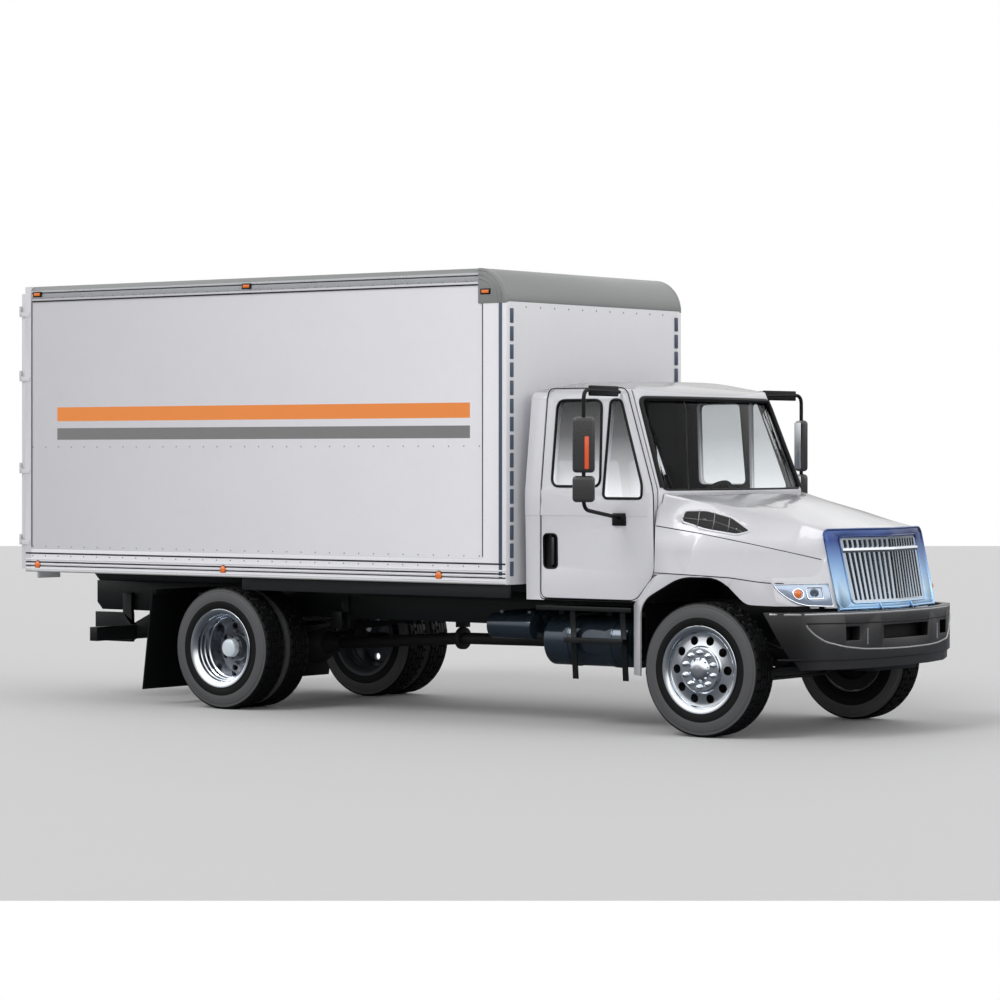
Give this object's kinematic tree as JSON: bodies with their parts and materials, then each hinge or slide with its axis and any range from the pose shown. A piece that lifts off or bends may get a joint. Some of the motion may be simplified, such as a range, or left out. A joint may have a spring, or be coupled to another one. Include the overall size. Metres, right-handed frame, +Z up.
{
  "type": "box truck",
  "caption": "Conventional-cab box truck with steered front wheels, twin rear wheels, tilting hood, opening cab doors and hinged cargo doors.",
  "frame": {"origin": "on the ground, under the middle of the truck's overall length and width", "axes": "+X forward, +Y to the truck's own left, +Z up"},
  "size_m": [8.173, 3.2304, 3.57],
  "materials": {
    "tyre": "matt",
    "wheel_chrome": "polished",
    "chassis_black": "satin",
    "dark_metal": "rough",
    "tank_grey": "gloss",
    "bumper_grey": "satin",
    "cab_white": "gloss",
    "glass": "clear",
    "mirror_grey": "gloss",
    "cabin_grey": "matt",
    "seat_cloth": "woven",
    "black_plastic": "matt",
    "grille_chrome": "polished",
    "lamp_clear": "clear",
    "lamp_amber": "gloss",
    "lamp_red": "gloss",
    "rubber_black": "matt",
    "body_white": "satin",
    "body_alloy": "brushed",
    "roof_grey": "satin",
    "deck_wood": "plain",
    "aluminium_core": "fins"
  },
  "bodies": {
    "chassis": {"body_floor": "deck_wood", "body_front_cap": "roof_grey", "body_front_wall": "body_white", "body_rails": "body_alloy", "body_roof": "roof_grey", "body_side_walls": "body_white", "cab_back": "cab_white", "cab_floor": "cab_white", "cab_front": "cab_white", "cab_roof": "cab_white", "cab_steps": "chassis_black", "dashboard": "cabin_grey", "driveshaft": "dark_metal", "engine_block": "dark_metal", "frame_crossmembers": "chassis_black", "frame_rails": "chassis_black", "front_axle": "chassis_black", "front_bumper": "bumper_grey", "leaf_springs": "dark_metal", "marker_lamps": "lamp_amber", "mudflaps": "rubber_black", "radiator": "aluminium_core", "rear_axle": "chassis_black", "rear_bumper": "chassis_black", "rear_frame": "body_white", "seats": "seat_cloth", "side_tanks": "tank_grey", "steering_wheel": "black_plastic", "tail_lamps": "lamp_red", "windscreen": "glass"},
    "wheel_front_left": {"tyre_front_left": "tyre", "rim_front_left": "wheel_chrome"},
    "wheel_front_right": {"tyre_front_right": "tyre", "rim_front_right": "wheel_chrome"},
    "wheel_rear_left": {"tyres_rear_left": "tyre", "rims_rear_left": "wheel_chrome"},
    "wheel_rear_right": {"tyres_rear_right": "tyre", "rims_rear_right": "wheel_chrome"},
    "knuckle_left": {"knuckle_left": "dark_metal"},
    "knuckle_right": {"knuckle_right": "dark_metal"},
    "tie_rod": {"tie_rod": "dark_metal"},
    "hood": {"hood": "cab_white", "wheel_liners": "black_plastic", "grille": "grille_chrome", "headlamps": "lamp_clear", "hood_vents": "black_plastic"},
    "door_left": {"door_left": "cab_white", "door_glass_left": "glass", "mirror_left": "mirror_grey"},
    "door_right": {"door_right": "cab_white", "door_glass_right": "glass", "mirror_right": "mirror_grey"},
    "cargo_door_left": {"cargo_door_left": "body_white"},
    "cargo_door_right": {"cargo_door_right": "body_white"}
  },
  "joints": [
    {"name": "steer_left", "type": "hinge", "parent": "chassis", "child": "knuckle_left", "pos_m": [3.0115, 0.925, 0.505], "axis": [0, 0, 1], "range_deg": [-40, 40]},
    {"name": "steer_right", "type": "hinge", "parent": "chassis", "child": "knuckle_right", "pos_m": [3.0115, -0.925, 0.505], "axis": [0, 0, 1], "range_deg": [-40, 40]},
    {"name": "tie_rod_pivot", "type": "hinge", "parent": "knuckle_left", "child": "tie_rod", "pos_m": [2.8215, 0.925, 0.3817], "axis": [0, 0, 1], "range_deg": [-40, 40]},
    {"name": "spin_front_left", "type": "hinge", "parent": "knuckle_left", "child": "wheel_front_left", "pos_m": [3.0115, 1.086, 0.505], "axis": [0, 1, 0], "continuous": true},
    {"name": "spin_front_right", "type": "hinge", "parent": "knuckle_right", "child": "wheel_front_right", "pos_m": [3.0115, -1.086, 0.505], "axis": [0, 1, 0], "continuous": true},
    {"name": "spin_rear_left", "type": "hinge", "parent": "chassis", "child": "wheel_rear_left", "pos_m": [-1.7335, 0.9475, 0.505], "axis": [0, 1, 0], "continuous": true},
    {"name": "spin_rear_right", "type": "hinge", "parent": "chassis", "child": "wheel_rear_right", "pos_m": [-1.7335, -0.9475, 0.505], "axis": [0, 1, 0], "continuous": true},
    {"name": "hood_tilt", "type": "hinge", "parent": "chassis", "child": "hood", "pos_m": [3.9965, 0, 0.952], "axis": [0, 1, 0], "range_deg": [0, 60]},
    {"name": "door_left_hinge", "type": "hinge", "parent": "chassis", "child": "door_left", "pos_m": [2.4975, 1.068, 1.5], "axis": [0, 0, -1], "range_deg": [0, 70]},
    {"name": "door_right_hinge", "type": "hinge", "parent": "chassis", "child": "door_right", "pos_m": [2.4975, -1.068, 1.5], "axis": [0, 0, 1], "range_deg": [0, 70]},
    {"name": "cargo_left_hinge", "type": "hinge", "parent": "chassis", "child": "cargo_door_left", "pos_m": [-4.0485, 1.232, 2.3], "axis": [0, 0, -1], "range_deg": [0, 260]},
    {"name": "cargo_right_hinge", "type": "hinge", "parent": "chassis", "child": "cargo_door_right", "pos_m": [-4.0485, -1.232, 2.3], "axis": [0, 0, 1], "range_deg": [0, 260]}
  ],
  "couplings": [
    {"joint": "steer_right", "follows": "steer_left", "ratio": 1},
    {"joint": "tie_rod_pivot", "follows": "steer_left", "ratio": -1}
  ]
}
